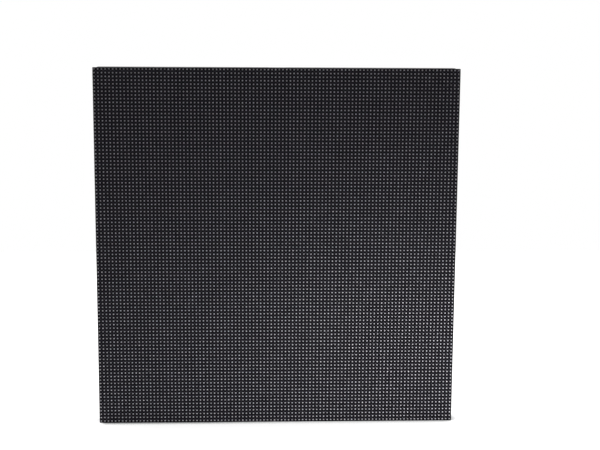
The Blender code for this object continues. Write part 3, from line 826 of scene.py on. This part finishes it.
def driver_chips():
    """The driver chips, with a small capacitor between each and the next, over the whole board."""
    x = -DRIVER_PITCH * (DRIVERS - 1) / 2
    z = MIDDLE_Z - GROUP_HEIGHT * (GROUPS - 1) / 2
    bodies = chip_body("driver_chips", x, z, DRIVER, CHIP_HEIGHT)
    leads = chip_leads("driver_leads", x, z, DRIVER, CHIP_HEIGHT)
    between = x + DRIVER_PITCH / 2
    foot = z + BYPASS_FROM_DRIVER
    head = foot + BYPASS_LENGTH
    half, rear = BYPASS_SIZE / 2, BOARD_BACK + BYPASS_SIZE
    low, high = (between - half, BOARD_BACK, foot), (between + half, rear, head)
    bypass = block("bypass_capacitors", low, high)
    bevel(bypass, BYPASS_EDGE)
    paint(bypass, CERAMIC)
    half, rear = half + BYPASS_CAP_PROUD, rear + BYPASS_CAP_PROUD
    caps = []
    for end in (foot, head):
        low = (between - half, BOARD_BACK, end - BYPASS_CAP / 2)
        caps.append(block("bypass_end", low, (between + half, rear, end + BYPASS_CAP / 2)))
    bypass_ends = join(caps, "bypass_ends")
    bevel(bypass_ends, BYPASS_EDGE)
    paint(bypass_ends, TINNED)
    for pieces, columns in (((bodies, leads), DRIVERS), ((bypass, bypass_ends), DRIVERS - 1)):
        for piece in pieces:
            array(piece, columns, (DRIVER_PITCH, 0, 0))
            array(piece, GROUPS, (0, 0, GROUP_HEIGHT))
            apply_modifiers(piece)
            stand_for(piece, "led_board")


def row_chips():
    """The row chips, which lie across the board."""
    bodies, leads = [], []
    for lanes, columns in ROW_CHIP_COLUMNS.items():
        for column in columns:
            for side in (-1, 1):
                at = (column * DRIVER_PITCH, MIDDLE_Z + side * lanes * LANE)
                bodies.append(turned_flat(chip_body("row_chip", *at, ROW_CHIP, CHIP_HEIGHT), *at))
                leads.append(turned_flat(chip_leads("row_lead", *at, ROW_CHIP, CHIP_HEIGHT), *at))
    stand_for(join(bodies, "row_chips"), "led_board")
    stand_for(join(leads, "row_leads"), "led_board")


def buffer_chip(node):
    """A wide buffer chip, which lies across the board."""
    at = (centre(node).x, centre(node).z)
    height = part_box(node)[1].y - BOARD_BACK
    body = turned_flat(chip_body(f"{node}_body", *at, BUFFER, height), *at)
    stand_for(body, node)
    leads = turned_flat(chip_leads(f"{node}_leads", *at, BUFFER, height), *at)
    stand_for(leads, node)


# Rear frame


def spans(ribs):
    """The clear widths from wall to wall between ribs, measured from the panel's middle."""
    inner = OUTLINE / 2 - FRAME_WALL
    post = RIB_THICKNESS / 2
    starts = [-inner, *(rib + post for rib in ribs)]
    ends = [*(rib - post for rib in ribs), inner]
    return list(zip(starts, ends))


def frame_bay(across, upward):
    """The space between ribs, rounded in its corners and wider along the ribs' rear edges."""
    (x0, x1), (z0, z1) = across, [MIDDLE_Z + z for z in upward]
    obj = block("bay", (x0, FRAME_FRONT - OVER, z0), (x1, FRAME_BACK - EDGE, z1))
    edit(obj, "EDGE")
    pick_edges(obj, along_depth)
    bpy.ops.mesh.bevel(offset=BAY_RADIUS, segments=3)
    bpy.ops.mesh.select_mode(type="FACE")
    pick_faces(obj, looks_back)
    draw_out(0, EDGE, 0)
    middle = ((x0 + x1) / 2, FRAME_BACK, (z0 + z1) / 2)
    rescale(1 + 2 * EDGE / (x1 - x0), 1 + 2 * EDGE / (z1 - z0), middle)
    draw_out(0, OVER, 0)
    leave()
    return obj


def frame_shell():
    """The frame's wall and ribs: a rounded slab that the bays between the ribs are cut from."""
    half = OUTLINE / 2
    corners = (-half, FRAME_FRONT, MIDDLE_Z - half), (half, FRAME_BACK, MIDDLE_Z + half)
    obj = block("rear_frame_moulding", *corners)
    edit(obj, "EDGE")
    pick_edges(obj, along_depth)
    bpy.ops.mesh.bevel(offset=FRAME_CORNER, segments=8)
    pick_edges(obj, lambda a, b: min(a.y, b.y) > FRAME_BACK - NEAR)
    bpy.ops.mesh.bevel(offset=FRAME_CHAMFER, segments=2)
    leave()
    return cut(obj, [frame_bay(x, z) for x in spans(UPRIGHT_RIBS) for z in spans(LEVEL_RIBS)])


def frame_boss(node, radius):
    """The frame's round boss at a CAD piece, with a small chamfer round its rear end."""
    at = centre(node)
    rear = FRAME_BACK - STEP
    steps = [(radius, rear - EDGE), (radius - EDGE, rear)]
    return lathe("boss", at.x, at.z, FRAME_FRONT + STEP, steps)


def frame_bore(node, near, radius, inner=()):
    """The hole that a CAD piece sits in, open to the rear with a small chamfer round its mouth.

    Inner steps of (radius, y) come before the stretch of the given radius.
    """
    at = centre(node)
    wide = radius + EDGE
    mouth = [(radius, FRAME_BACK - EDGE), (wide, FRAME_BACK), (wide, FRAME_BACK + OVER)]
    return lathe("bore", at.x, at.z, near, [*inner, *mouth])


def frame_bores():
    """The holes for screws with their nuts, for magnets, inserts and locating pins."""
    screw_steps = (
        (NUT_WELL_RADIUS, WEB_FRONT),
        (SHANK_HOLE_RADIUS, WEB_FRONT),
        (SHANK_HOLE_RADIUS, WEB_BACK),
        (HEAD_WELL_RADIUS, WEB_BACK),
    )
    cup_steps = ((SHANK_HOLE_RADIUS, CUP_FLOOR), (MAGNET_CUP_RADIUS, CUP_FLOOR))
    kinds = (
        ("frame_screw", FRAME_FRONT - OVER, HEAD_WELL_RADIUS, screw_steps),
        ("mount_magnet", FRAME_BACK - MAGNET_BORE_DEPTH, MAGNET_CUP_RADIUS, cup_steps),
        ("threaded_insert", FRAME_BACK - INSERT_BORE_DEPTH, INSERT_BORE_RADIUS),
        ("locating_pin", FRAME_BACK - LOCATOR_BORE_DEPTH, LOCATOR_BORE_RADIUS),
    )
    return [frame_bore(node, *bore) for base, *bore in kinds for node in numbered(base)]


def frame_notch(x, z, across, upward, near, far):
    z += MIDDLE_Z
    low = (x - across / 2, near, z - upward / 2)
    return block("notch", low, (x + across / 2, far, z + upward / 2))


def frame_notches():
    """Notches over the board's tracks in the ribs' feet, and a pry notch in each outer side."""
    foot = (FRAME_FRONT - OVER, FRAME_FRONT + RIB_NOTCH_DEPTH)
    wide, through = RIB_NOTCH_WIDTH, 2 * RIB_THICKNESS
    side_bay = (RIB_X + SIDE / 2) / 2 - DRIVER_PITCH
    columns = (-side_bay, 0, side_bay)
    notches = [frame_notch(x, z, wide, through, *foot) for x in columns for z in LEVEL_RIBS]
    groups = [GROUP_HEIGHT * (row - (GROUPS - 1) / 2) for row in range(GROUPS)]
    notches += [frame_notch(x, z, through, wide, *foot) for x in UPRIGHT_RIBS for z in groups]
    rear = (FRAME_BACK - PRY_NOTCH_RISE, FRAME_BACK + OVER)
    wide, through = PRY_NOTCH_WIDTH, 2 * PRY_NOTCH_DEPTH
    for edge in (-OUTLINE / 2, OUTLINE / 2):
        notches.append(frame_notch(edge, GROUP_HEIGHT / 2, through, wide, *rear))
        notches.append(frame_notch(0, edge, wide, through, *rear))
    return notches


def frame_moulding():
    """The whole rear frame, with bosses and bores at the CAD pieces that it holds."""
    kinds = BOSS_RADII.items()
    bosses = [frame_boss(node, radius) for base, radius in kinds for node in numbered(base)]
    obj = fuse(frame_shell(), bosses)
    cut(obj, frame_notches() + frame_bores())
    smooth(obj)
    return obj


# Turned pieces


def turned_piece(node, suffix, points, floor=None, segments=32):
    """A CAD piece's stand-in, turned from its front end through the points of a profile.

    The floor of its bore is given as (radius, height above the front end) in millimetres.
    """
    at, (low, high) = centre(node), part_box(node)
    steps = profile(high.y, points)
    if floor:
        radius, height = floor
        steps.append((radius * MM, low.y + height * MM))
    return lathe(f"{node}_{suffix}", at.x, at.z, low.y, steps, segments)


def cross_recess(piece, node, reach, width, depth):
    """Cuts the two crossed slots of a screw's head."""
    at, rear = centre(node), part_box(node)[1].y
    blades = []
    for across, upward in ((reach, width / 2), (width / 2, reach)):
        low = (at.x - across, rear - depth, at.z - upward)
        blades.append(block("blade", low, (at.x + across, rear + OVER, at.z + upward)))
    cut(piece, blades)
    smooth(piece)


def threaded_insert(node):
    """A brass bush with a countersunk, threaded bore that ends above its floor."""
    points = [(2.4, 0), (1.75, 0), (1.5, 0.25)]
    piece = turned_piece(node, "turned", points, floor=(1.5, 0.2))
    paint(piece, THREADED)
    stand_for(piece, node)


def mount_magnet(node):
    """A chamfered disc magnet with a countersunk hole."""
    points = [(6.0, 0.25), (5.75, 0), (3.3, 0), (1.7, 1.8)]
    piece = turned_piece(node, "disc", points, floor=(1.7, 0.1), segments=64)
    paint(piece, NICKEL)
    stand_for(piece, node)


def magnet_screw(node):
    """A countersunk screw with a cross recess."""
    piece = turned_piece(node, "turned", [(1.25, 1.6), (2.8, 0)])
    cross_recess(piece, node, 1.5 * MM, 0.5 * MM, 0.9 * MM)
    paint(piece, DARK_STEEL)
    stand_for(piece, node)


def frame_screw(node):
    """A pan-head screw with a cross recess."""
    head = [(2.3, 1.8), (2.3, 0.9), (2.15, 0.45), (1.7, 0.12), (1.1, 0)]
    piece = turned_piece(node, "turned", [(1.25, 1.8), *head])
    cross_recess(piece, node, 1.3 * MM, 0.45 * MM, 1.0 * MM)
    paint(piece, STEEL)
    stand_for(piece, node)


def locating_pin(node):
    """A pin whose rear end is tapered and has its rim broken."""
    piece = turned_piece(node, "turned", [(2.0, 0.8), (1.6, 0.2), (1.3, 0)])
    paint(piece, STEEL)
    stand_for(piece, node)


# Plugs and capacitors


def capacitor(node):
    """A can with a rolled groove and rim, on a foot with two cut corners."""
    at, (low, high) = centre(node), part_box(node)
    foot_back = low.y + CAPACITOR_FOOT
    foot = block(f"{node}_foot", low, (high.x, foot_back, high.z))
    edit(foot, "EDGE")
    pick_edges(foot, lambda a, b: along_depth(a, b) and a.z > at.z)
    bpy.ops.mesh.bevel(offset=CAPACITOR_CORNER, segments=1)
    leave()
    paint(foot, PHENOLIC)
    stand_for(foot, node)
    groove = ((3.15, 0.35), (2.95, 0.55), (2.95, 0.75), (3.15, 0.95))
    steps = [(radius * MM, foot_back + rise * MM) for radius, rise in groove]
    steps += profile(high.y, [(3.15, 0.45), (3.0, 0.12), (2.7, 0), (2.5, 0.08)])
    can = lathe(f"{node}_can", at.x, at.z, foot_back, steps)
    paint(can, CAN)
    stand_for(can, node)


def header_shell(node):
    """The header's open box, with a slot in one wall for the plug's key."""
    at, (low, high) = centre(node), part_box(node)
    obj = block(f"{node}_shell", low, high)
    edit(obj)
    pick_faces(obj, looks_back)
    bpy.ops.mesh.inset(thickness=HEADER_WALL, depth=0)
    draw_out(0, HEADER_FLOOR - (high.y - low.y), 0)
    leave()
    half = HEADER_KEY_WIDTH / 2
    key_low = (at.x - half, low.y + HEADER_FLOOR, low.z - OVER)
    key_high = (at.x + half, high.y + OVER, low.z + 1.5 * HEADER_WALL)
    cut(obj, [block("key", key_low, key_high)])
    bevel(obj, HEADER_EDGE)
    paint(obj, POLYESTER)
    return obj


def header_pins(node):
    """The header's rows of pointed pins: one pin modelled and repeated."""
    at, foot = centre(node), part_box(node)[0].y
    x = at.x - HEADER_PIN_PITCH * (HEADER_PINS - 1) / 2
    z = at.z - HEADER_PIN_PITCH * (HEADER_ROWS - 1) / 2
    half, tip = HEADER_PIN_SIZE / 2, foot + HEADER_PIN_TIP
    low = (x - half, foot + HEADER_PIN_FOOT, z - half)
    obj = block(f"{node}_pins", low, (x + half, tip - HEADER_POINT, z + half))
    edit(obj)
    pick_faces(obj, looks_back)
    draw_out(0, HEADER_POINT, 0)
    rescale(HEADER_POINT_TAPER, HEADER_POINT_TAPER, (x, tip, z))
    leave()
    array(obj, HEADER_PINS, (HEADER_PIN_PITCH, 0, 0))
    array(obj, HEADER_ROWS, (0, 0, HEADER_PIN_PITCH))
    apply_modifiers(obj)
    paint(obj, GOLD)
    return obj


def data_header(node):
    """A keyed header for a ribbon cable."""
    stand_for(header_shell(node), node)
    stand_for(header_pins(node), node)


# The panel

FINISHES = {
    "rear_frame": NYLON,
    "board_nut": TIN,
    "frame_screw": STEEL,
    "threaded_insert": THREADED,
    "mount_magnet": NICKEL,
    "magnet_screw": DARK_STEEL,
    "locating_pin": STEEL,
    "data_header": POLYESTER,
    "power_header": WHITE_NYLON,
    "power_pin": STEEL,
    "capacitor": CAN,
    "buffer_chip": EPOXY,
    "front_mask": MASK,
    "led_board": BOARD,
}
for node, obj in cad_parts.items():
    paint(obj, FINISHES[kind(node)])

for number, first_row in enumerate(range(0, PIXELS, MASK_BAND_ROWS), 1):
    band = mask_band(f"mask_band_{number}", first_row, MASK_BAND_ROWS)
    stand_for(band, "front_mask")

for number, first_row in enumerate(range(0, PIXELS, LED_BAND_ROWS), 1):
    band = led_band(f"led_band_{number}", first_row, LED_BAND_ROWS)
    stand_for(band, "led_board")

pins = mask_pins()
paint(pins, MASK)
stand_for(pins, "front_mask")

slab = circuit_board()
paint(slab, BOARD)
stand_for(slab, "led_board")

moulding = frame_moulding()
paint(moulding, NYLON)
stand_for(moulding, "rear_frame")

driver_chips()
row_chips()

for base, make in (
    ("buffer_chip", buffer_chip),
    ("threaded_insert", threaded_insert),
    ("mount_magnet", mount_magnet),
    ("magnet_screw", magnet_screw),
    ("frame_screw", frame_screw),
    ("locating_pin", locating_pin),
    ("capacitor", capacitor),
    ("data_header", data_header),
):
    for node in numbered(base):
        make(node)


# Floor, room, lights and camera


def white_floor():
    bpy.ops.mesh.primitive_plane_add(size=1, location=FLOOR_MIDDLE)
    obj = named(bpy.context.object, "floor")
    obj.scale = (FLOOR_WIDTH, FLOOR_DEPTH, 1)
    apply_place(obj)
    paint(obj, floor_material())
    return obj


def white_room():
    """A room that the camera and reflections see white, and that lights the panel faintly."""
    world = bpy.data.worlds.new("white room")
    bpy.context.scene.world = world
    world.use_nodes = True
    tree = world.node_tree
    rays = add(tree, "ShaderNodeLightPath").outputs
    camera_ray, glossy_ray = rays["Is Camera Ray"], rays["Is Glossy Ray"]
    seen = add(
        tree, "ShaderNodeMath", {"operation": "MAXIMUM"}, _0=camera_ray, _1=glossy_ray
    ).outputs[0]
    strength = add(tree, "ShaderNodeMapRange", Value=seen, To_Min=0.1).outputs[0]
    feed(tree, tree.nodes["Background"], Color=linear("FFFFFF"), Strength=strength)


def placed(name, data):
    """A lamp or camera, linked to the scene."""
    obj = bpy.data.objects.new(name, data)
    bpy.context.scene.collection.objects.link(obj)
    return obj


def softbox(name, location, target, width, height, power, spread=180):
    data = bpy.data.lights.new(name, "AREA")
    data.shape = "RECTANGLE"
    data.size = width
    data.size_y = height
    data.energy = power
    data.spread = math.radians(spread)
    lamp = placed(name, data)
    lamp.location = location
    aim = Vector(target) - Vector(location)
    lamp.rotation_euler = aim.to_track_quat("-Z", "Y").to_euler()


def camera():
    """The camera at the photograph's place, turned about the panel and rolled a little."""
    level = math.cos(ELEVATION)
    back = Vector((math.sin(AZIMUTH) * level, -math.cos(AZIMUTH) * level, math.sin(ELEVATION)))
    right = Vector((math.cos(AZIMUTH), math.sin(AZIMUTH), 0))
    up = back.cross(right)
    rolled_right = math.cos(ROLL) * right + math.sin(ROLL) * up
    rolled_up = -math.sin(ROLL) * right + math.cos(ROLL) * up
    data = bpy.data.cameras.new("camera")
    data.sensor_width = SENSOR
    data.lens = SENSOR * FOCAL_PIXELS / IMAGE_WIDTH
    data.clip_start = 10 * MM
    obj = placed("camera", data)
    turn = Matrix((rolled_right, rolled_up, back)).transposed().to_4x4()
    obj.matrix_world = Matrix.Translation(TARGET + back * DISTANCE) @ turn
    return obj


white_floor()
white_room()
softbox("top softbox", (0, -0.1, 1.5), (0, 0, 0), 2.4, 2.4, 62)
softbox("low front strip", (0.13, -0.21, 0.025), (0.09, 0, 0.03), 0.26, 0.03, 0.21, 150)
bpy.context.scene.camera = camera()
bpy.context.scene.view_settings.view_transform = "Standard"
